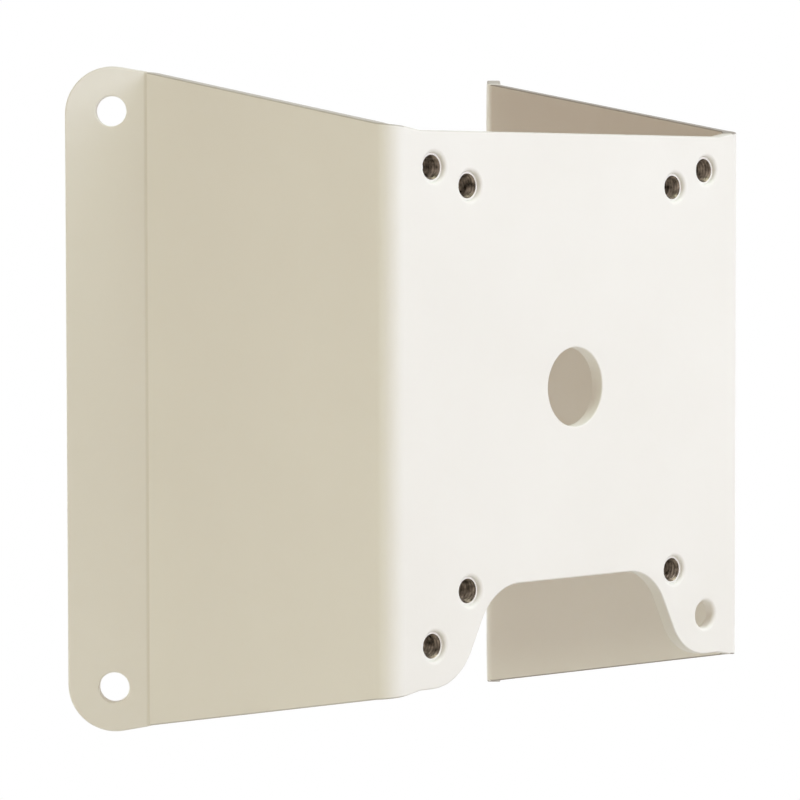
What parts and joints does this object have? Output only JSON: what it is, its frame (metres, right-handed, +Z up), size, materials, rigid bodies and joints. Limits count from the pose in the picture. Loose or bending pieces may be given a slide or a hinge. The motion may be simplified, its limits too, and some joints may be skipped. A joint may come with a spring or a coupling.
{
  "type": "corner bracket for a security camera",
  "caption": "Folded sheet bracket that carries a camera arm on a building's outside corner, with splayed wall flanges, pressed-in threaded bushes, a cable hole and a cable notch.",
  "frame": {"origin": "front face of the plate, midway across the bracket and midway up the plate", "axes": "+X to the right along the plate for someone facing it, +Y back towards the building, +Z up"},
  "size_m": [0.2166, 0.1433, 0.2308],
  "materials": {
    "coated_sheet": "warm white satin powder coat",
    "plated_bush": "dull zinc plate"
  },
  "bodies": {
    "root": {"folded_bracket": "coated_sheet", "threaded_bushes": "plated_bush"}
  },
  "joints": []
}
